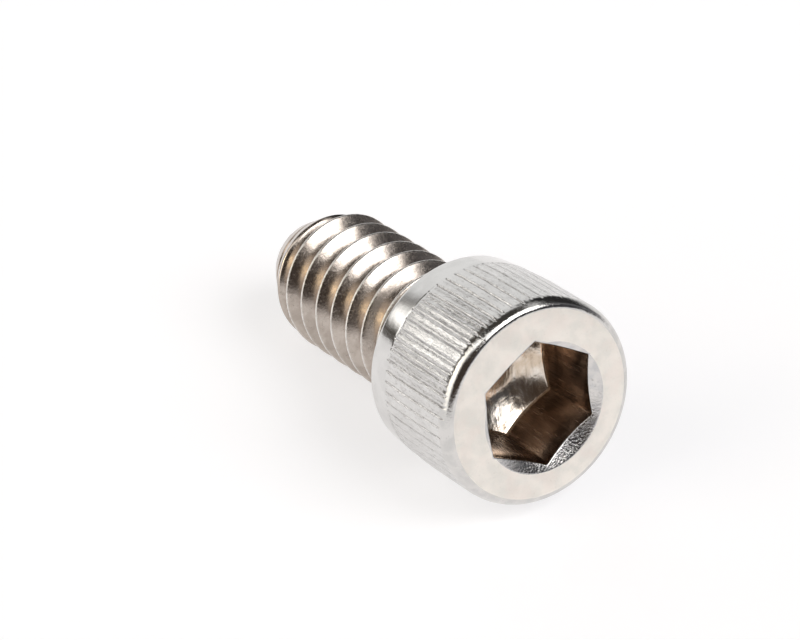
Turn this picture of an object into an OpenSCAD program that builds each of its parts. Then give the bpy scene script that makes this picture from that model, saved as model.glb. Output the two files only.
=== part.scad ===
// Socket head cap screw, coarse thread, lying on its side
// The screw is drawn along +Z with its bearing face at zero, then laid down facing -Y.

/* [Thread] */
// Diameter over the thread's crests
thread_d = 6.3; // [5.9:0.01:6.5]
// Distance from one crest to the next
pitch = 1.27; // [0.9:0.01:1.5]
// Length from the bearing face to the tip
thread_len = 12.3; // [7:0.05:16]
// Width of the flat left on each crest
crest_w = 0.1; // [0.06:0.01:0.2]
// Radius of the rounded root
root_r = 0.24; // [0.14:0.01:0.28]
// Diameter of the flat end at the tip
tip_d = 3.9; // [3:0.05:4.6]
// Slope of the tip's chamfer, measured from the axis
tip_slope = 28; // [25:1:60]
// Length over which the thread runs out below the head
runout = 1.1; // [0.5:0.1:2]
// Height of the fillet between thread and bearing face
neck_h = 0.35; // [0.2:0.05:0.6]
// How far the fillet reaches out past the thread's crests
neck_w = 0.08; // [0.04:0.01:0.2]
// Turn of the thread about the axis, set by where its crest meets the bearing face
thread_turn = 299; // [0:1:359]
// Facets in one turn of the thread
turn_facets = 48; // [32:4:60]

/* [Head] */
// Diameter of the head over the knurl
head_d = 9.46; // [8.8:0.02:10]
// Height of the head
head_h = 6.35; // [6:0.05:7]
// Width of the rounding at the face, across the screw
rim_w = 0.42; // [0.2:0.02:0.5]
// Height of the rounding at the face, along the screw
rim_h = 0.6; // [0.3:0.05:0.8]
// Height of the narrowed heel above the bearing face
heel_h = 3; // [1.5:0.1:3.5]
// How much the heel narrows, on the radius
heel_drop = 0.17; // [0.09:0.01:0.24]
// How the heel curves in, where 1 is a plain cone
heel_bend = 1.3; // [1:0.1:2]
// Radius of the rounding between heel and bearing face
heel_r = 0.25; // [0.15:0.01:0.35]

/* [Knurl] */
// Number of grooves round the head
grooves = 60; // [40:1:66]
// Depth of each groove below the head's surface
groove_depth = 0.07; // [0.04:0.005:0.08]
// Width of each groove at the head's surface
groove_w = 0.15; // [0.08:0.01:0.2]
// Turn of the first groove about the axis
groove_turn = 2.5; // [0:0.5:6]

/* [Socket] */
// Distance across the flats of the hexagon
socket_af = 4.8; // [4.5:0.05:5.1]
// Depth of the hexagon's corners below the face
socket_depth = 3.25; // [2.6:0.05:3.6]
// Diameter of the countersink round the mouth
mouth_d = 5.95; // [5.75:0.05:6.8]
// Slope of the countersink, measured from the face
mouth_slope = 25; // [10:1:40]
// How far the countersink sits off the hexagon's centre
mouth_off = 0.23; // [0:0.01:0.3]
// Direction in which the countersink sits off
mouth_off_turn = 302; // [0:1:359]
// Slope of the socket's conical floor, measured from the face
floor_slope = 28; // [10:1:32]
// Diameter of the flat in the middle of the floor
floor_flat_d = 2.4; // [1:0.1:3]
// Turn of the hexagon about the axis from one corner straight up
socket_turn = 2; // [-30:1:30]
// How far the socket sits off the screw's axis
socket_off = 0.12; // [0:0.01:0.2]
// Direction in which the socket sits off the axis
socket_off_turn = 329; // [0:1:359]

/* [Hidden] */
$fn = 128;
steel = [0.78, 0.76, 0.74];

// Thread form, all radii and depths from the crest
thread_r = thread_d / 2;
flank_run = pitch / 2 - crest_w / 2;
flank_slope = 60;
root_depth = flank_run * tan(flank_slope) - root_r;
root_arc = 4;
// Half a pitch and more of thread is drawn past both ends, and trimmed or sunk in the head
over = 0.6 * pitch;
tip_len = (thread_r - tip_d / 2) / tan(tip_slope);

// Head
head_r = head_d / 2;
rim_steps = 5;
heel_steps = 4;
arc_steps = 3;
heel_foot_r = head_r - heel_drop;
// The turned outline starts here, so once meshed a facet of the heel and no edge faces down
seam_turn = 2.65;

// Socket
corner_r = socket_af / 2 / cos(30);
clear = 1;

// Lying down, the heel and the lowest full crest near the tip touch the ground
down = 270;
down_crest = pitch * (down - thread_turn) / 360;
low_crest = down_crest - pitch * floor((thread_len - tip_len + down_crest) / pitch);
heel_touch_z = heel_r;
lie_tilt = atan((heel_foot_r - thread_r) / (heel_touch_z - low_crest));

// One pitch of the thread's form from crest to crest, as [height, depth below the crest]
function root_point(a) = [
    pitch / 2 - root_r * sin(a),
    root_depth - root_r + root_r * cos(a)
];
thread_form = concat(
    [[-crest_w / 2, 0], [crest_w / 2, 0]],
    [for (i = [0 : root_arc]) root_point(60 - 120 * i / root_arc)]
);
form_n = len(thread_form);

// Near the head the root rises until the thread is full
function root_lift(z) = z < -runout ? 0 : min(1, (z + runout) / runout);
function thread_point(turn, z, depth) =
    let (r = thread_r - depth * (1 - 0.85 * root_lift(z)))
    [r * cos(turn), r * sin(turn), z];

// The rows of the thread follow the helix, so the last column meets the first one a pitch higher.
// The first column stands half a facet past the lowest line, so a facet and no edge faces down.
module thread_body() {
    columns = turn_facets;
    first_turn = down + 180 / columns;
    low = pitch * ((first_turn - thread_turn) / 360 - ceil((thread_len + over) / pitch) - 1);
    rows = ceil((over - low) / pitch) * form_n;
    points = [
        for (c = [0 : columns - 1], row = [0 : rows - 1])
            let (
                turn = first_turn + 360 * c / columns,
                form = thread_form[row % form_n],
                z = low + pitch * floor(row / form_n) + pitch * c / columns + form[0]
            )
            thread_point(turn, z, form[1])
    ];
    low_centre = [0, 0, low - pitch];
    high_centre = [0, 0, low + pitch * (rows / form_n + 1.5)];
    all_points = concat(points, [low_centre, high_centre]);
    low_i = len(points);
    high_i = low_i + 1;
    last = (columns - 1) * rows;
    sides = [
        for (c = [0 : columns - 2], row = [0 : rows - 2])
            let (a = c * rows + row, b = a + rows)
            each [[a, a + 1, b + 1], [a, b + 1, b]]
    ];
    seam = [
        for (row = [0 : rows - form_n - 2])
            let (a = last + row, b = row + form_n)
            each [[a, a + 1, b + 1], [a, b + 1, b]]
    ];
    low_end = [for (c = [0 : columns - 2]) [low_i, c * rows, (c + 1) * rows]];
    low_step = [for (row = [0 : form_n - 1]) [last, row + 1, row]];
    high_end = [
        for (c = [0 : columns - 2])
            let (a = c * rows + rows - 1)
            [high_i, a + rows, a]
    ];
    high_step = [
        for (row = [rows - 1 - form_n : rows - 2])
            [last + row, last + row + 1, rows - 1]
    ];
    polyhedron(
        all_points,
        concat(sides, seam, low_end, low_step, [[low_i, last, 0]], high_end, high_step,
            [[high_i, rows - 1, last + rows - 1]]),
        convexity = 10
    );
}

// What the thread is trimmed to: its length, with the chamfered tip
module thread_envelope() {
    reach = thread_r + clear;
    translate([0, 0, -thread_len])
        cylinder(r1 = tip_d / 2, r2 = tip_d / 2 + reach * tan(tip_slope), h = reach);
    translate([0, 0, reach - thread_len])
        cylinder(r = reach, h = thread_len - reach + over / 2);
}

// Cone that stands in for the fillet where the thread meets the head, its foot sunk in the roots
module neck() {
    foot_r = thread_r - root_depth;
    slope = (thread_r + neck_w - foot_r) / neck_h;
    translate([0, 0, -neck_h])
        cylinder(r1 = foot_r, r2 = foot_r + slope * (neck_h + heel_r), h = neck_h + heel_r);
}

module thread() {
    intersection() {
        thread_body();
        thread_envelope();
    }
    neck();
}

// Outline of the head as it was turned: bearing face, heel, barrel, rounded rim, face
heel_foot = [
    for (i = [0 : arc_steps])
        let (a = 90 * i / arc_steps)
        [heel_foot_r - heel_r + heel_r * sin(a), heel_r - heel_r * cos(a)]
];
heel_belly = [
    for (i = [1 : heel_steps])
        let (s = i / heel_steps)
        [head_r - heel_drop * pow(1 - s, heel_bend), heel_r + (heel_h - heel_r) * s]
];
rim = [
    for (i = [0 : rim_steps])
        let (a = 90 * i / rim_steps)
        [head_r - rim_w + rim_w * cos(a), head_h - rim_h + rim_h * sin(a)]
];

module head_blank() {
    rotate(seam_turn)
        rotate_extrude()
            polygon(concat([[0, 0]], heel_foot, heel_belly, rim, [[0, head_h]]));
}

// Straight grooves, which run out where the heel and the rim fall below their depth
module knurl() {
    outer = groove_w * 1.5 / 2;
    for (i = [0 : grooves - 1])
        rotate(groove_turn + 360 * i / grooves)
            translate([head_r, 0, -clear])
                linear_extrude(head_h + 2 * clear)
                    polygon([
                        [-groove_depth, 0],
                        [groove_depth / 2, -outer],
                        [groove_depth / 2, outer]
                    ]);
}

// Hexagon with a conical floor, and the countersink round its mouth
module socket() {
    hex_low = head_h - socket_depth;
    floor_fall = (corner_r - floor_flat_d / 2) * tan(floor_slope);
    intersection() {
        translate([0, 0, hex_low - floor_fall])
            rotate(90 + socket_turn)
                cylinder(r = corner_r, h = socket_depth + floor_fall + clear, $fn = 6);
        union() {
            translate([0, 0, hex_low])
                cylinder(r = corner_r + clear, h = socket_depth + clear);
            translate([0, 0, hex_low - floor_fall])
                cylinder(r1 = floor_flat_d / 2, r2 = corner_r + clear,
                    h = (corner_r + clear - floor_flat_d / 2) * tan(floor_slope));
        }
    }
    mouth_fall = mouth_d / 2 * tan(mouth_slope);
    translate([mouth_off * cos(mouth_off_turn), mouth_off * sin(mouth_off_turn), head_h - mouth_fall])
        cylinder(r1 = 0, r2 = mouth_d, h = 2 * mouth_fall);
}

module upright_screw() {
    difference() {
        union() {
            difference() {
                head_blank();
                knurl();
            }
            thread();
        }
        translate([socket_off * cos(socket_off_turn), socket_off * sin(socket_off_turn), 0])
            socket();
    }
}

module cap_screw() {
    color(steel)
        rotate([90 - lie_tilt, 0, 0])
            upright_screw();
}

cap_screw();
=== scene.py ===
"""Hex socket cap screw, lying on a pale floor under soft studio light."""
import math

import bmesh
import bpy
import numpy as np
from mathutils import Matrix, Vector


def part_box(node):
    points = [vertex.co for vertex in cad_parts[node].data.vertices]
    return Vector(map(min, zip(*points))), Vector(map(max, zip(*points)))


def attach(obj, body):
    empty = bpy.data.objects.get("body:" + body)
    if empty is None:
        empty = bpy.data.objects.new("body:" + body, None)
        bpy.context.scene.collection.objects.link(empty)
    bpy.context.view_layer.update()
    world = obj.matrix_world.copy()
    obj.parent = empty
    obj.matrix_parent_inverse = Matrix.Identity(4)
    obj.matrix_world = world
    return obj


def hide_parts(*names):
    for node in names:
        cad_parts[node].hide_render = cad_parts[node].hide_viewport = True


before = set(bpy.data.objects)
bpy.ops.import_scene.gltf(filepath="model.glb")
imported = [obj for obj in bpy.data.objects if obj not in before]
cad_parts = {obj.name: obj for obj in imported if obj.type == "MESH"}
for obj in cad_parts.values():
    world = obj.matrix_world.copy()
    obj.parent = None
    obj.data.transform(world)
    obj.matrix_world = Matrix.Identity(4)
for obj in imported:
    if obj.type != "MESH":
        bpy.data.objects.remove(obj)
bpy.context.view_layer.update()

MM = 0.001

# Sizes in millimetres and turns in degrees as in the part's source, with what is finer than there
THREAD_R = 3.15
PITCH = 1.27
THREAD_LEN = 12.3
CREST_W = 0.1
CREST_ROUND = 0.03
ROOT_R = 0.24
FLANK_SLOPE = math.radians(60)
TIP_R = 1.95
TIP_SLOPE = math.radians(28)
RUNOUT = 1.1
RUNOUT_RISE = 0.85
NECK_H = 0.35
NECK_W = 0.08
THREAD_TURN = 299
HEAD_R = 4.73
HEAD_H = 6.35
RIM_W = 0.42
RIM_H = 0.6
RIM_EASE = 0.006
HEEL_H = 3.0
HEEL_DROP = 0.17
HEEL_BEND = 1.3
HEEL_R = 0.25
GROOVES = 60
GROOVE_DEPTH = 0.07
GROOVE_TURN = 2.5
GROOVE_BELL = 0.036
GROOVE_WOBBLE = 0.007
LAND_BULGE = 0.024
LAND_DROP = 0.004
KNURL_START = 1.44
KNURL_STEP = 0.012
SOCKET_AF = 4.8
SOCKET_FILLET = 0.1
SOCKET_DEPTH = 3.25
MOUTH_R = 2.975
MOUTH_OFF = 0.23
MOUTH_OFF_TURN = math.radians(302)
MOUTH_SLOPE = math.radians(23.5)
MOUTH_FLARE = 1.05
MOUTH_WEAR = 0.085
MOUTH_WORN_TURN = math.radians(148)
FLOOR_SLOPE = math.radians(28)
FLOOR_FLAT_R = 1.2
SOCKET_TURN = 2
SOCKET_OFF = 0.12
SOCKET_OFF_TURN = math.radians(329)

# How the screw lies: the heel and the lowest full crest near the tip touch the ground
HEEL_FOOT_R = HEAD_R - HEEL_DROP
DOWN = 270
TIP_LEN = (THREAD_R - TIP_R) / math.tan(TIP_SLOPE)
DOWN_CREST = PITCH * (DOWN - THREAD_TURN) / 360
LOW_CREST = DOWN_CREST - PITCH * math.floor((THREAD_LEN - TIP_LEN + DOWN_CREST) / PITCH)
LIE_TILT = math.atan((HEEL_FOOT_R - THREAD_R) / (HEEL_R - LOW_CREST))

CORNER_R = SOCKET_AF / 2 / math.cos(math.radians(30))
ROOT_DEPTH = (PITCH / 2 - CREST_W / 2) * math.tan(FLANK_SLOPE) - ROOT_R


# Shapes

def lie_down(points):
    """Points of the upright screw in mm become points of the lying one in metres.

    The screw turns about X until its axis, face first, looks to -Y and up by the lie's tilt.
    """
    c, s = math.cos(LIE_TILT), math.sin(LIE_TILT)
    x, y, z = points[..., 0], points[..., 1], points[..., 2]
    return MM * np.stack([x, y * s - z * c, y * c + z * s], axis=-1)


def smooth_max(a, b, blend):
    """The larger of a and b, with the corner between them rounded over about blend."""
    return 0.5 * (a + b + np.sqrt((a - b) ** 2 + blend ** 2))


def waves(angle, height, seed, turns, pitches, count=24):
    """Sum of count cosine waves round and along the screw, scaled to about one.

    Each has a whole number of turns up to turns, a rate along the axis up to pitches
    and its own phase, so it closes on itself round the screw.
    """
    rng = np.random.default_rng(seed)
    total = np.zeros(np.broadcast(angle, height).shape)
    for _ in range(count):
        n = rng.integers(-turns, turns + 1)
        k = rng.uniform(-pitches, pitches)
        total += np.cos(n * angle + k * height + rng.uniform(0, 2 * math.pi))
    return total / math.sqrt(count / 2)


def new_piece(name, points, faces, zones, traits, materials):
    """A mesh object of these points, whose doubles and collapsed faces are merged.

    traits names numbers from 0 to 1 that the finishes read at each point.
    """
    mesh = bpy.data.meshes.new(name)
    mesh.from_pydata(points.tolist(), [], faces.tolist())
    for material in materials:
        mesh.materials.append(material)
    mesh.polygons.foreach_set("material_index", zones)
    for trait, values in traits.items():
        mesh.attributes.new(trait, "FLOAT", "POINT").data.foreach_set("value", values.ravel())
    shape = bmesh.new()
    shape.from_mesh(mesh)
    bmesh.ops.remove_doubles(shape, verts=shape.verts, dist=1e-8)
    bmesh.ops.dissolve_degenerate(shape, edges=shape.edges, dist=1e-9)
    bmesh.ops.recalc_face_normals(shape, faces=shape.faces)
    shape.to_mesh(mesh)
    shape.free()
    mesh.polygons.foreach_set("use_smooth", np.ones(len(mesh.polygons), dtype=bool))
    piece = bpy.data.objects.new(name, mesh)
    bpy.context.scene.collection.objects.link(piece)
    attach(piece, "root")
    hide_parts("cap_screw")
    return piece


def ring_faces(rows, columns):
    """Four-cornered faces between neighbouring rows of a closed ring of columns."""
    r, c = np.meshgrid(np.arange(rows - 1), np.arange(columns), indexing="ij")
    a, b = r * columns + c, r * columns + (c + 1) % columns
    return np.stack([a, b, b + columns, a + columns], axis=-1).reshape(-1, 4)


def bend_between(start, corner, end, steps):
    """Rows of points on the curve that leaves start towards corner and ends at end."""
    t = np.linspace(0, 1, steps + 1)[1:, None, None]
    return start * (1 - t) ** 2 + corner * 2 * t * (1 - t) + end * t ** 2


def hexagon_radius(angle):
    """Distance from the socket's axis to its wall, with the corners rounded.

    Flats are straight lines at half the width across flats; near a corner the wall is
    a circle of the fillet's radius that touches both flats.
    """
    turn = angle - math.radians(90 + SOCKET_TURN)
    from_corner = (turn + math.pi / 6) % (math.pi / 3) - math.pi / 6
    flat = SOCKET_AF / 2 / np.cos(math.pi / 6 - np.abs(from_corner))
    centre = (SOCKET_AF / 2 - SOCKET_FILLET) / math.cos(math.pi / 6)
    touch = math.atan2(SOCKET_FILLET * math.sin(math.pi / 6),
                       centre + SOCKET_FILLET * math.cos(math.pi / 6))
    inside = np.clip(SOCKET_FILLET ** 2 - (centre * np.sin(from_corner)) ** 2, 0, None)
    rounded = centre * np.cos(from_corner) + np.sqrt(inside)
    return np.where(np.abs(from_corner) < touch, rounded, flat)


# Columns of the head: each of the knurl's pitches has them closer together at its groove
GROOVE_STEPS = np.array([-3, -2.1, -1.35, -0.85, -0.5, -0.25, 0, 0.25, 0.5, 0.85, 1.35, 2.1])
RIM_ROWS = 14
# Its stations under the bearing face, by radius, and close ones by height where the knurl starts
UNDER_STATIONS = np.array([0, 1.5, 3, 3.9, 4.2])
START_STATIONS = np.array([1.3, 1.34, 1.38, 1.42, 1.46, 1.5, 1.56, 1.64, 1.74])


def head_outside(angle):
    """Radius and height of the head's outside, from the middle of its bearing face to the
    flat face's edge, as rows of stations along the outline and columns round the axis."""
    a = np.linspace(0, math.pi / 2, 8)
    foot = np.stack([HEEL_FOOT_R - HEEL_R + HEEL_R * np.sin(a), HEEL_R - HEEL_R * np.cos(a)])
    z = np.concatenate([np.linspace(HEEL_R, 1.25, 7)[1:], START_STATIONS,
                        np.linspace(1.9, HEAD_H - RIM_H, 22)])
    s = np.clip((z - HEEL_R) / (HEEL_H - HEEL_R), 0, 1)
    side = np.stack([HEAD_R - HEEL_DROP * (1 - s) ** HEEL_BEND, z])
    a = np.linspace(0, math.pi / 2, RIM_ROWS + 1)[1:]
    rim = np.stack([HEAD_R - RIM_W + RIM_W * np.cos(a),
                    HEAD_H - RIM_H + RIM_H * np.sin(a) - RIM_EASE * np.sin(2 * a)])
    under = np.stack([UNDER_STATIONS, np.zeros(len(UNDER_STATIONS))])
    r, z = np.concatenate([under, foot, side, rim], axis=1)[:, :, None]
    return np.broadcast_arrays(r, z, angle[None, :])[:2]


def knurled(r, z, angle):
    """The outline's radius less the knurl, and how deep in a groove each place is, from 0 to 1.

    Each groove is a narrow bell of depth GROOVE_DEPTH, between lands that bulge a little.
    Both fade in where the knurl starts above the heel and out at the rim, at a height that
    differs from groove to groove, and their edges waver along the screw.
    """
    rng = np.random.default_rng(7)
    spacing = 2 * math.pi / GROOVES
    turn = (angle - math.radians(GROOVE_TURN)) / spacing
    number = np.round(turn).astype(int) % GROOVES
    depth = rng.uniform(0.55, 1.0, GROOVES)[number]
    width = rng.uniform(0.8, 1.25, GROOVES)[number]
    start = KNURL_START + rng.uniform(-0.03, 0.03, GROOVES)[number]
    stop = HEAD_H - RIM_H + rng.uniform(0.05, 0.25, GROOVES)[number]
    across = (turn - np.round(turn)) * spacing * HEAD_R
    wobble = GROOVE_WOBBLE * waves(angle, z, 3, 90, 16)
    bell = np.exp(-((across + wobble) / (GROOVE_BELL * width)) ** 2)
    land = (2 * across / (spacing * HEAD_R)) ** 2
    inside = 1 / (1 + np.exp(-(z - start) / 0.03)) / (1 + np.exp((z - stop) / 0.05))
    step = KNURL_STEP * np.exp(-((z - start + 0.03) / 0.03) ** 2)
    less = inside * (GROOVE_DEPTH * depth * bell + LAND_BULGE * land + LAND_DROP) + step
    return r - less, inside * bell, inside


def mouth_fall(r, angle):
    """How far the countersink lies below the face, at a radius and angle about the socket.

    It is a cone round its own centre, a little off the socket's, and level outside it.
    """
    turn = angle - MOUTH_OFF_TURN
    apart = np.sqrt(r ** 2 + MOUTH_OFF ** 2 - 2 * r * MOUTH_OFF * np.cos(turn))
    return smooth_max((MOUTH_R - apart) * math.tan(MOUTH_SLOPE), 0, 0.008)


def socket_inside(angle):
    """Radius and height from the flat face's edge into the socket.

    The face leads to the countersink, a cone rounded where it leaves the face. A curve
    leads over the hexagon's edge to the walls, which flare at the worn mouth,
    and another from them to the conical floor.
    """
    below = hexagon_radius(angle)
    wall = below * MOUTH_FLARE + MOUTH_WEAR * (1 + np.cos(angle - MOUTH_WORN_TURN))
    lip, foot = 0.05, 0.12
    edge_z = HEAD_H - mouth_fall(wall, angle)
    floor_z = HEAD_H - SOCKET_DEPTH - (CORNER_R - below) * math.tan(FLOOR_SLOPE)
    turn = angle - MOUTH_OFF_TURN
    mouth = MOUTH_OFF * np.cos(turn) + np.sqrt(MOUTH_R ** 2 - (MOUTH_OFF * np.sin(turn)) ** 2)

    def at(r, z):
        return np.stack(np.broadcast_arrays(r, z), axis=-1)

    out = wall + lip
    start = np.maximum(mouth, out) + 0.03
    step = np.linspace(0, 1, 7)[1:, None]
    face_r = (HEAD_R - RIM_W) * (1 - step) + start * step
    face = at(face_r, HEAD_H - mouth_fall(face_r, angle))
    step = np.array([0.08, 0.16, 0.26, 0.4, 0.6, 0.8, 1])[:, None]
    cone_r = start * (1 - step) + out * step
    cone = at(cone_r, HEAD_H - mouth_fall(cone_r, angle))
    edge = bend_between(cone[-1], at(wall, edge_z), at(wall, edge_z - lip), 6)
    step = np.linspace(0, 1, 15)[1:, None] ** 1.5
    wall_r = below + (wall - below) * np.exp(-step / 0.25) * (1 - step)
    walls = at(wall_r, (edge_z - lip) * (1 - step) + (floor_z + foot) * step)
    inner = at(below - foot * math.cos(FLOOR_SLOPE), floor_z - foot * math.sin(FLOOR_SLOPE))
    corner = bend_between(walls[-1], at(below, floor_z), inner, 5)
    step = np.linspace(0, 1, 13)[1:, None]
    floor_r = inner[:, 0] * (1 - step)
    cone_floor = HEAD_H - SOCKET_DEPTH - (CORNER_R - floor_r) * math.tan(FLOOR_SLOPE)
    flat_floor = HEAD_H - SOCKET_DEPTH - (CORNER_R - FLOOR_FLAT_R) * math.tan(FLOOR_SLOPE)
    floor = at(floor_r, smooth_max(cone_floor, flat_floor, 0.12))
    sections = [face, cone, edge, walls, corner, floor]
    rows = np.concatenate(sections)
    return rows[..., 0], rows[..., 1], [len(section) for section in sections]


def make_head(materials):
    """The head: its outline turned about the axis and knurled, then the socket's rows,
    which share its columns and move over to the socket's own axis across the flat face."""
    spacing = 360 / GROOVES
    first = np.arange(GROOVES)[:, None] * spacing + GROOVE_TURN + GROOVE_STEPS
    angle = np.radians(first.ravel())
    r_out, z_out = head_outside(angle)
    r_out, grooved, rolled = knurled(r_out, z_out, angle[None, :])
    r_in, z_in, counts = socket_inside(angle)
    share = np.concatenate([np.zeros(len(r_out)), np.linspace(0, 1, counts[0] + 1)[1:],
                            np.ones(len(r_in) - counts[0])])[:, None]
    r, z = np.concatenate([r_out, r_in]), np.concatenate([z_out, z_in])
    x = r * np.cos(angle) + share * SOCKET_OFF * math.cos(SOCKET_OFF_TURN)
    y = r * np.sin(angle) + share * SOCKET_OFF * math.sin(SOCKET_OFF_TURN)
    points = lie_down(np.stack([x, y, z], axis=-1)).reshape(-1, 3)
    rows, columns = r.shape
    # Zones by row: side, rim, face, countersink with its edge, walls, floor
    side_rows, rim_rows = len(r_out) - RIM_ROWS, RIM_ROWS
    zone_rows = np.repeat([0, 1, 2, 3, 4, 5], [side_rows - 1, rim_rows, counts[0],
                                               counts[1] + counts[2], counts[3],
                                               counts[4] + counts[5]])
    zones = np.repeat(zone_rows, columns).astype(np.int32)
    smooth = np.zeros(r_in.shape)
    traits = {"groove": np.concatenate([grooved, smooth]),
              "rolled": np.concatenate([rolled, smooth])}
    return new_piece("head", points, ring_faces(rows, columns), zones, traits, materials)


def thread_depth(along):
    """Depth of the thread below its crest, at a distance along the axis from the crest.

    A narrow crest with a rounded edge, a straight flank at 60 degrees, and a round root.
    """
    s = np.abs(along)
    flank = (s - CREST_W / 2) * math.tan(FLANK_SLOPE)
    root_centre = ROOT_DEPTH - ROOT_R
    root = root_centre + np.sqrt(np.clip(ROOT_R ** 2 - (PITCH / 2 - s) ** 2, 0, None))
    depth = np.where(s > PITCH / 2 - ROOT_R * math.sin(FLANK_SLOPE), root, flank)
    return smooth_max(depth, 0, CREST_ROUND) - 0.004


def make_shank(materials):
    """The threaded shank: a thread's form swept along its helix, trimmed by the tip's
    chamfer, raised to the neck under the head, and closed by rows that spiral inwards."""
    columns = 240
    s = np.array([0, 0.03, 0.05, 0.07, 0.1, 0.16, 0.24, 0.32, 0.39, 0.43, 0.47, 0.52, 0.575])
    form = np.concatenate([-PITCH / 2 + 0 * s[:1], -s[:0:-1], s])
    n = len(form)
    turns = math.ceil((THREAD_LEN + 1) / PITCH) + 3
    angle = 2 * math.pi * np.arange(columns)[:, None] / columns
    low = PITCH * (-THREAD_TURN / 360 - math.floor((THREAD_LEN + 1) / PITCH) - 1)
    row = np.arange(turns * n)
    along = np.broadcast_to(form[row % n], (columns, len(row)))
    z = low + PITCH * (row // n) + along + PITCH * angle / (2 * math.pi)
    lift = np.clip((z + RUNOUT) / RUNOUT, 0, 1)
    nicks = 0.004 * waves(angle + 0 * z, z, 11, 120, 30) * np.exp(-(along / 0.08) ** 2)
    r = THREAD_R - thread_depth(along) * (1 - RUNOUT_RISE * lift) - np.clip(nicks, 0, None)
    neck = THREAD_R + NECK_W + np.clip(z, None, 0) / NECK_H * (NECK_W + ROOT_DEPTH)
    r = np.where(z > -NECK_H, smooth_max(r, neck, 0.03), r)
    chamfer = TIP_R + (z + THREAD_LEN) * math.tan(TIP_SLOPE)
    r = -smooth_max(-r, -chamfer, 0.02)
    top = 0.6
    past_tip = np.clip(-THREAD_LEN - z, 0, None)
    past_top = np.clip(z - top, 0, None)
    r = np.where(past_tip > 0, TIP_R * np.clip(1 - past_tip / (1.4 * PITCH), 0, 1), r)
    r = np.where(past_top > 0, r.clip(0, THREAD_R) * np.clip(1 - past_top / PITCH, 0, 1), r)
    z = np.clip(z, -THREAD_LEN, top)
    points = lie_down(np.stack([r * np.cos(angle), r * np.sin(angle), z], axis=-1)).reshape(-1, 3)
    rows = len(row)
    c, k = np.meshgrid(np.arange(columns - 1), np.arange(rows - 1), indexing="ij")
    a = c * rows + k
    sides = np.stack([a, a + 1, a + rows + 1, a + rows], axis=-1).reshape(-1, 4)
    k = np.arange(rows - n - 1)
    a = (columns - 1) * rows + k
    seam = np.stack([a, a + 1, k + n + 1, k + n], axis=-1)
    faces = np.concatenate([sides, seam])
    below_crest = THREAD_R - r
    whole = (past_tip == 0) & (past_top == 0)
    traits = {"crest": whole * np.exp(-(along / 0.05) ** 2 - (below_crest / 0.08) ** 2),
              "root": whole * np.clip(thread_depth(along) / ROOT_DEPTH, 0, 1)}
    zones = np.zeros(len(faces), dtype=np.int32)
    return new_piece("threaded_shank", points, faces, zones, traits, materials)


# Finishes

def add(tree, kind, feeds, **settings):
    """A node with its inputs fed by sockets or set to plain values."""
    node = tree.nodes.new(kind)
    for name, value in settings.items():
        setattr(node, name, value)
    for name, value in feeds.items():
        if isinstance(value, bpy.types.NodeSocket):
            tree.links.new(value, node.inputs[name])
        else:
            node.inputs[name].default_value = value
    return node


def on_screw(tree, stretch=(1, 1, 1), shift=(0, 0, 0)):
    """Object coordinates turned back to the upright screw, in mm, then scaled by stretch."""
    place = add(tree, "ShaderNodeTexCoord", {})
    upright = add(tree, "ShaderNodeMapping", {
        "Vector": place.outputs["Object"], "Rotation": (LIE_TILT - math.pi / 2, 0, 0),
        "Scale": (1 / MM, 1 / MM, 1 / MM)})
    if stretch == (1, 1, 1) and shift == (0, 0, 0):
        return upright.outputs["Vector"]
    scaled = add(tree, "ShaderNodeMapping", {
        "Vector": upright.outputs["Vector"], "Scale": stretch, "Location": shift})
    return scaled.outputs["Vector"]


def grain(tree, vector, scale, detail=3.0, roughness=0.55, warp=0.0):
    """Noise of about scale features per mm, from 0 to 1."""
    return add(tree, "ShaderNodeTexNoise", {
        "Vector": vector, "Scale": scale, "Detail": detail, "Roughness": roughness,
        "Distortion": warp}).outputs["Fac"]


def spread(tree, value, low, high, to_low=0.0, to_high=1.0):
    """Value taken from low..high to to_low..to_high with soft ends."""
    return add(tree, "ShaderNodeMapRange", {
        "Value": value, "From Min": low, "From Max": high, "To Min": to_low, "To Max": to_high},
        interpolation_type="SMOOTHSTEP").outputs["Result"]


def blend(tree, share, first, second):
    """Colour that goes from first to second as share goes from 0 to 1."""
    node = add(tree, "ShaderNodeMix", {}, data_type="RGBA")
    for socket, value in zip([i for i in node.inputs if i.enabled], [share, first, second]):
        if isinstance(value, bpy.types.NodeSocket):
            tree.links.new(value, socket)
        else:
            socket.default_value = (*value, 1) if isinstance(value, tuple) else value
    return [o for o in node.outputs if o.enabled][0]


def sums(tree, operation, first, second):
    """One step of arithmetic on two values."""
    return add(tree, "ShaderNodeMath", {0: first, 1: second}, operation=operation).outputs[0]


def relief(tree, height, depth, below=None):
    """Bump whose full height is depth mm, on top of another bump."""
    feeds = {"Height": height, "Distance": depth * MM, "Strength": 1.0}
    if below is not None:
        feeds["Normal"] = below
    return add(tree, "ShaderNodeBump", feeds).outputs["Normal"]


def trait(tree, name):
    """A number from 0 to 1 that the piece's mesh carries under this name."""
    return add(tree, "ShaderNodeAttribute", {}, attribute_name=name).outputs["Fac"]


def steel(name):
    """A new metal material, as its tree and its shader."""
    material = bpy.data.materials.new(name)
    material.use_nodes = True
    tree = material.node_tree
    shader = tree.nodes["Principled BSDF"]
    shader.inputs["Metallic"].default_value = 1
    return material, tree, shader


def finish(tree, shader, colour, roughness, normal):
    """Feed a metal's shader."""
    for name, socket in (("Base Color", colour), ("Roughness", roughness), ("Normal", normal)):
        tree.links.new(socket, shader.inputs[name])


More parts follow.
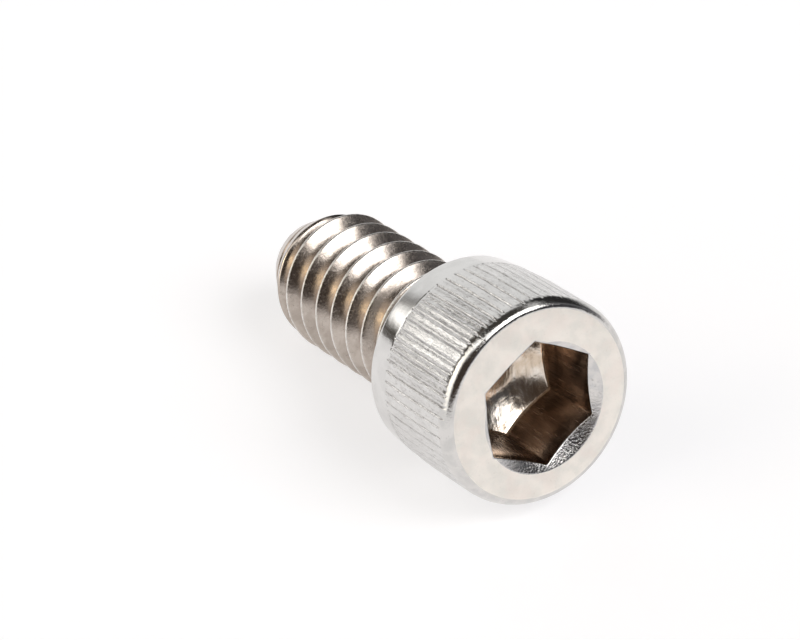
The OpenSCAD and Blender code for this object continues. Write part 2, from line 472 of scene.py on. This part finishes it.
def face_finish():
    """Satin face: pale warm grey with blotches, a fine grain and faint turning marks."""
    material, tree, shader = steel("face_steel")
    spots = spread(tree, grain(tree, on_screw(tree), 1.1, 4, 0.6, 0.4), 0.35, 0.65)
    colour = blend(tree, spots, (0.92, 0.87, 0.805), (0.86, 0.83, 0.775))
    pink = spread(tree, grain(tree, on_screw(tree, shift=(7, 3, 1)), 0.8, 3), 0.45, 0.7, 0, 0.6)
    colour = blend(tree, pink, colour, (0.89, 0.81, 0.75))
    fine = grain(tree, on_screw(tree), 9, 3, 0.6)
    flat = add(tree, "ShaderNodeVectorMath", {0: on_screw(tree), 1: (1, 1, 0)},
               operation="MULTIPLY")
    radius = add(tree, "ShaderNodeVectorMath", {0: flat.outputs["Vector"]}, operation="LENGTH")
    ring = add(tree, "ShaderNodeCombineXYZ", {"X": radius.outputs["Value"]}).outputs["Vector"]
    turned = grain(tree, ring, 14, 2)
    colour = blend(tree, spread(tree, fine, 0.62, 0.75, 0, 0.35), colour, (0.68, 0.63, 0.57))
    rough = sums(tree, "ADD", spread(tree, spots, 0, 1, 0.36, 0.46),
                 spread(tree, fine, 0.3, 0.7, -0.04, 0.04))
    normal = relief(tree, turned, 0.004)
    normal = relief(tree, fine, 0.006, normal)
    finish(tree, shader, colour, rough, normal)
    return material


def knurl_finish():
    """Side of the head: a smooth heel, rolled lands with ripples and torn groove edges, and
    painted shade in the grooves.
    """
    material, tree, shader = steel("knurl_steel")
    groove, rolled = trait(tree, "groove"), trait(tree, "rolled")
    ripple = grain(tree, on_screw(tree, (1, 1, 0.12)), 3.6, 5, 0.65, 0.25)
    tears = grain(tree, on_screw(tree, (1, 1, 0.4), (4, 9, 2)), 9, 4, 0.7, 0.3)
    faint = spread(tree, grain(tree, on_screw(tree, shift=(6, 1, 4)), 1.8, 3), 0.38, 0.6, 0.1, 1)
    soft = grain(tree, on_screw(tree, shift=(2, 6, 5)), 1.2, 3, 0.5)
    colour = blend(tree, spread(tree, soft, 0.35, 0.65), (0.71, 0.70, 0.685), (0.66, 0.65, 0.635))
    torn = sums(tree, "MULTIPLY", spread(tree, tears, 0.54, 0.66, 0, 0.6), rolled)
    colour = blend(tree, torn, colour, (0.42, 0.40, 0.385))
    # Painted shade: the grooves are darkened in colour, standing in for the shade inside them
    groove_shade = sums(tree, "MULTIPLY", spread(tree, groove, 0.1, 1, 0, 0.55), faint)
    colour = blend(tree, groove_shade, colour, (0.26, 0.245, 0.235))
    rough = sums(tree, "ADD", spread(tree, ripple, 0.3, 0.7, 0.09, 0.17),
                 sums(tree, "MULTIPLY", groove, 0.12))
    raised = sums(tree, "ADD", sums(tree, "MULTIPLY", rolled, 0.9), 0.1)
    rippled = sums(tree, "MULTIPLY", ripple, raised)
    normal = relief(tree, rippled, 0.025)
    normal = relief(tree, sums(tree, "MULTIPLY", tears, rolled), 0.016, normal)
    normal = relief(tree, soft, 0.006, normal)
    finish(tree, shader, colour, rough, normal)
    return material


def polished(name, first, second, speckle):
    """Polished rounding or countersink of two close colours, with faint ripples and specks."""
    material, tree, shader = steel(name)
    soft = grain(tree, on_screw(tree), 1.6, 3, 0.5)
    specks = grain(tree, on_screw(tree, shift=(3, 1, 8)), 9, 4, 0.7, 0.5)
    colour = blend(tree, spread(tree, soft, 0.35, 0.65), first, second)
    colour = blend(tree, spread(tree, specks, 0.6, 0.72, 0, speckle), colour, (0.42, 0.40, 0.38))
    rough = sums(tree, "ADD", spread(tree, soft, 0.3, 0.7, 0.07, 0.12),
                 spread(tree, specks, 0.5, 0.75, 0, 0.14))
    normal = relief(tree, soft, 0.012)
    normal = relief(tree, specks, 0.002 + 0.014 * speckle ** 2, normal)
    finish(tree, shader, colour, rough, normal)
    return material


def wall_finish():
    """Broached walls: darker and warmer, with long scratches along the screw."""
    material, tree, shader = steel("wall_steel")
    streaks = grain(tree, on_screw(tree, (1, 1, 0.07)), 5, 4, 0.6)
    fine = grain(tree, on_screw(tree, (1, 1, 0.05), (2, 5, 1)), 17, 3, 0.6)
    tint = spread(tree, grain(tree, on_screw(tree, (1, 1, 0.5)), 0.9, 3), 0.35, 0.65)
    colour = blend(tree, tint, (0.43, 0.335, 0.265), (0.19, 0.135, 0.10))
    colour = blend(tree, spread(tree, streaks, 0.55, 0.7, 0, 0.5), colour, (0.42, 0.34, 0.28))
    colour = blend(tree, spread(tree, fine, 0.6, 0.72, 0, 0.5), colour, (0.09, 0.06, 0.045))
    rough = spread(tree, streaks, 0.3, 0.7, 0.16, 0.28)
    normal = relief(tree, streaks, 0.012)
    normal = relief(tree, fine, 0.005, normal)
    finish(tree, shader, colour, rough, normal)
    return material


def floor_finish():
    """Floor of the socket: bright, scratched one way, with warm tarnish in patches."""
    material, tree, shader = steel("socket_floor_steel")
    scratches = grain(tree, on_screw(tree, (1, 0.12, 0.12)), 7, 4, 0.65, 0.3)
    soft = grain(tree, on_screw(tree), 1.0, 3, 0.5, 0.5)
    colour = blend(tree, spread(tree, soft, 0.35, 0.65), (0.80, 0.74, 0.67), (0.64, 0.53, 0.42))
    colour = blend(tree, spread(tree, scratches, 0.56, 0.72, 0, 0.45), colour, (0.40, 0.31, 0.23))
    rough = spread(tree, scratches, 0.3, 0.7, 0.12, 0.24)
    normal = relief(tree, scratches, 0.008)
    normal = relief(tree, soft, 0.03, normal)
    finish(tree, shader, colour, rough, normal)
    return material


def thread_finish():
    """Rolled thread: smooth warm flanks, roots darkened warm brown as painted shade, and crests
    that are nicked and paler, partly a painted highlight.
    """
    material, tree, shader = steel("thread_steel")
    crest, root = trait(tree, "crest"), trait(tree, "root")
    soft = grain(tree, on_screw(tree, (1, 1, 1.4)), 1.3, 3, 0.5, 0.3)
    fine = grain(tree, on_screw(tree, shift=(5, 2, 7)), 8, 3, 0.6)
    nicks = grain(tree, on_screw(tree, shift=(1, 8, 3)), 5, 3, 0.7)
    colour = blend(tree, spread(tree, soft, 0.35, 0.65), (0.53, 0.47, 0.42), (0.43, 0.375, 0.33))
    # Painted shade: the roots are darkened to a warm brown, standing in for the shade and dark
    # reflections deep in the thread
    colour = blend(tree, spread(tree, root, 0.7, 0.95, 0, 0.85), colour, (0.38, 0.31, 0.25))
    colour = blend(tree, spread(tree, fine, 0.6, 0.72, 0, 0.4), colour, (0.36, 0.31, 0.27))
    # Pale crests: partly real wear, partly a painted highlight of the bright line along each crest
    pale = sums(tree, "MULTIPLY", crest, spread(tree, nicks, 0.35, 0.55, 0.45, 1))
    colour = blend(tree, pale, colour, (0.90, 0.885, 0.865))
    rough = sums(tree, "ADD", spread(tree, fine, 0.35, 0.7, 0.19, 0.28),
                 sums(tree, "MULTIPLY", crest, 0.2))
    normal = relief(tree, soft, 0.006)
    normal = relief(tree, fine, 0.003, normal)
    finish(tree, shader, colour, rough, normal)
    return material


make_head([
    knurl_finish(),
    polished("rim_steel", (0.68, 0.665, 0.645), (0.60, 0.59, 0.575), 0.6),
    face_finish(),
    polished("countersink_steel", (0.67, 0.65, 0.63), (0.56, 0.555, 0.555), 1.0),
    wall_finish(),
    floor_finish()])
make_shank([thread_finish()])


# Stage

ground_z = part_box("cap_screw")[0][2]
half = 0.6
corners = [(-half, -half), (half, -half), (half, half), (-half, half)]
floor_mesh = bpy.data.meshes.new("floor")
floor_mesh.from_pydata([(x, y, ground_z) for x, y in corners], [], [(0, 1, 2, 3)])
floor = bpy.data.objects.new("floor", floor_mesh)
bpy.context.scene.collection.objects.link(floor)
paper = bpy.data.materials.new("pale_paper")
paper.use_nodes = True
tree = paper.node_tree
matt = tree.nodes["Principled BSDF"]
matt.inputs["Base Color"].default_value = (0.94, 0.93, 0.955, 1)
matt.inputs["Roughness"].default_value = 0.9
matt.inputs["Specular IOR Level"].default_value = 0.2
white = add(tree, "ShaderNodeEmission", {"Color": (1, 0.995, 1, 1), "Strength": 1.27})
ray = add(tree, "ShaderNodeLightPath", {})
seen = sums(tree, "MAXIMUM", ray.outputs["Is Camera Ray"], ray.outputs["Is Glossy Ray"])
share = sums(tree, "MULTIPLY", seen, 0.5)
paper_mix = add(tree, "ShaderNodeMixShader", {
    "Fac": share, 1: matt.outputs["BSDF"], 2: white.outputs["Emission"]})
tree.links.new(paper_mix.outputs["Shader"], tree.nodes["Material Output"].inputs["Surface"])
floor_mesh.materials.append(paper)

# The studio round the screw, as soft-edged panels with round corners on a pale dome. Each has
# the azimuth from -Y towards +X and the elevation of its middle, and its half width and half
# height, all in degrees, then the softness of its edge as a share of them, and its colour.
STUDIO = [
    ("dark ceiling", 0, 90, 27, 27, 0.15, (0.06, 0.055, 0.05)),
    ("strip light above", -55, 58, 30, 5, 0.3, (2.3, 2.27, 2.23)),
    ("dark board at the back", -142, 28, 27, 33, 0.2, (0.09, 0.08, 0.07)),
    ("gap in the board", -150, 18, 12, 9, 0.4, (2.0, 1.96, 1.9)),
    ("white card on the left", -98, 24, 20, 30, 0.2, (1.85, 1.77, 1.64)),
    ("dark wall on the right", 66, 20, 27, 30, 0.2, (0.19, 0.19, 0.2)),
    ("black card on the right", 108, 34, 34, 22, 0.2, (0.03, 0.03, 0.03)),
    ("dark room behind the camera", -31, 18, 40, 34, 0.15, (0.06, 0.046, 0.038)),
    ("dark table edge in front", 30, 12, 31, 18, 0.12, (0.06, 0.06, 0.065)),
    ("soft light at the front", 20, 46, 19, 15, 0.12, (5.1, 5.06, 5.02)),
    ("warm card at the left", -103, 28, 7, 6, 0.5, (7.0, 6.3, 4.6)),
]

world = bpy.data.worlds.new("studio")
bpy.context.scene.world = world
world.use_nodes = True
tree = world.node_tree
way = add(tree, "ShaderNodeTexCoord", {}).outputs["Generated"]
colour = (0.94, 0.94, 0.94)
for name, azimuth, elevation, wide, high, softness, tone in STUDIO:
    aim = Matrix.Rotation(math.radians(azimuth), 3, "Z")
    turn = aim @ Matrix.Rotation(math.radians(90 - elevation), 3, "X")
    size = (math.sin(math.radians(wide)), math.sin(math.radians(high)), 1)
    local = add(tree, "ShaderNodeMapping", {
        "Vector": way, "Rotation": turn.to_euler("XYZ"), "Scale": size}, vector_type="TEXTURE")
    parts = add(tree, "ShaderNodeSeparateXYZ", {"Vector": local.outputs["Vector"]})
    oval = add(tree, "ShaderNodeCombineXYZ", {"X": parts.outputs["X"], "Y": parts.outputs["Y"]})
    squares = add(tree, "ShaderNodeVectorMath", {
        0: oval.outputs["Vector"], 1: oval.outputs["Vector"]}, operation="MULTIPLY")
    far = add(tree, "ShaderNodeVectorMath", {0: squares.outputs["Vector"]}, operation="LENGTH")
    reach = sums(tree, "POWER", far.outputs["Value"], 0.5)
    inside = spread(tree, reach, 1 - softness, 1 + softness, 1, 0)
    facing = sums(tree, "GREATER_THAN", parts.outputs["Z"], 0)
    colour = blend(tree, sums(tree, "MULTIPLY", inside, facing), colour, tone)
tree.links.new(colour, tree.nodes["Background"].inputs["Color"])
tree.nodes["Background"].inputs["Strength"].default_value = 1.0


# Camera, at the photograph's angle

FOCAL_PIXELS = 4500
PHOTO_WIDTH = 800
# The screw's axis, towards the face, in the photograph: to the right, upwards, to the camera
AXIS_SEEN = (0.5296, -0.3337, 0.7798)
# Where the face's centre was seen: mm to the right of the view's middle, below it and away
FACE_SEEN_AT = (5.9062, 3.5716, 190.0539)
AZIMUTH = -math.asin(AXIS_SEEN[0] / math.cos(LIE_TILT))
rise = math.atan2(math.sin(LIE_TILT), math.cos(AZIMUTH) * math.cos(LIE_TILT))
ELEVATION = rise - math.atan2(AXIS_SEEN[1], AXIS_SEEN[2])
right = np.array([math.cos(AZIMUTH), math.sin(AZIMUTH), 0])
back = np.array([math.sin(AZIMUTH) * math.cos(ELEVATION), -math.cos(AZIMUTH) * math.cos(ELEVATION),
                 math.sin(ELEVATION)])
above = np.cross(back, right)
face_centre = HEAD_H * np.array([0, -math.cos(LIE_TILT), math.sin(LIE_TILT)])
across, down, ahead = FACE_SEEN_AT
place = MM * (face_centre - across * right + down * above + ahead * back)
lens = bpy.data.cameras.new("camera")
lens.sensor_width = 36
lens.lens = lens.sensor_width * FOCAL_PIXELS / PHOTO_WIDTH
lens.clip_start = 0.01
camera = bpy.data.objects.new("camera", lens)
axes = np.stack([right, above, back], axis=1)
camera.matrix_world = Matrix([[*row, at] for row, at in zip(axes, place)] + [[0, 0, 0, 1]])
bpy.context.scene.collection.objects.link(camera)
bpy.context.scene.camera = camera

view = bpy.context.scene.view_settings
view.view_transform = "Standard"
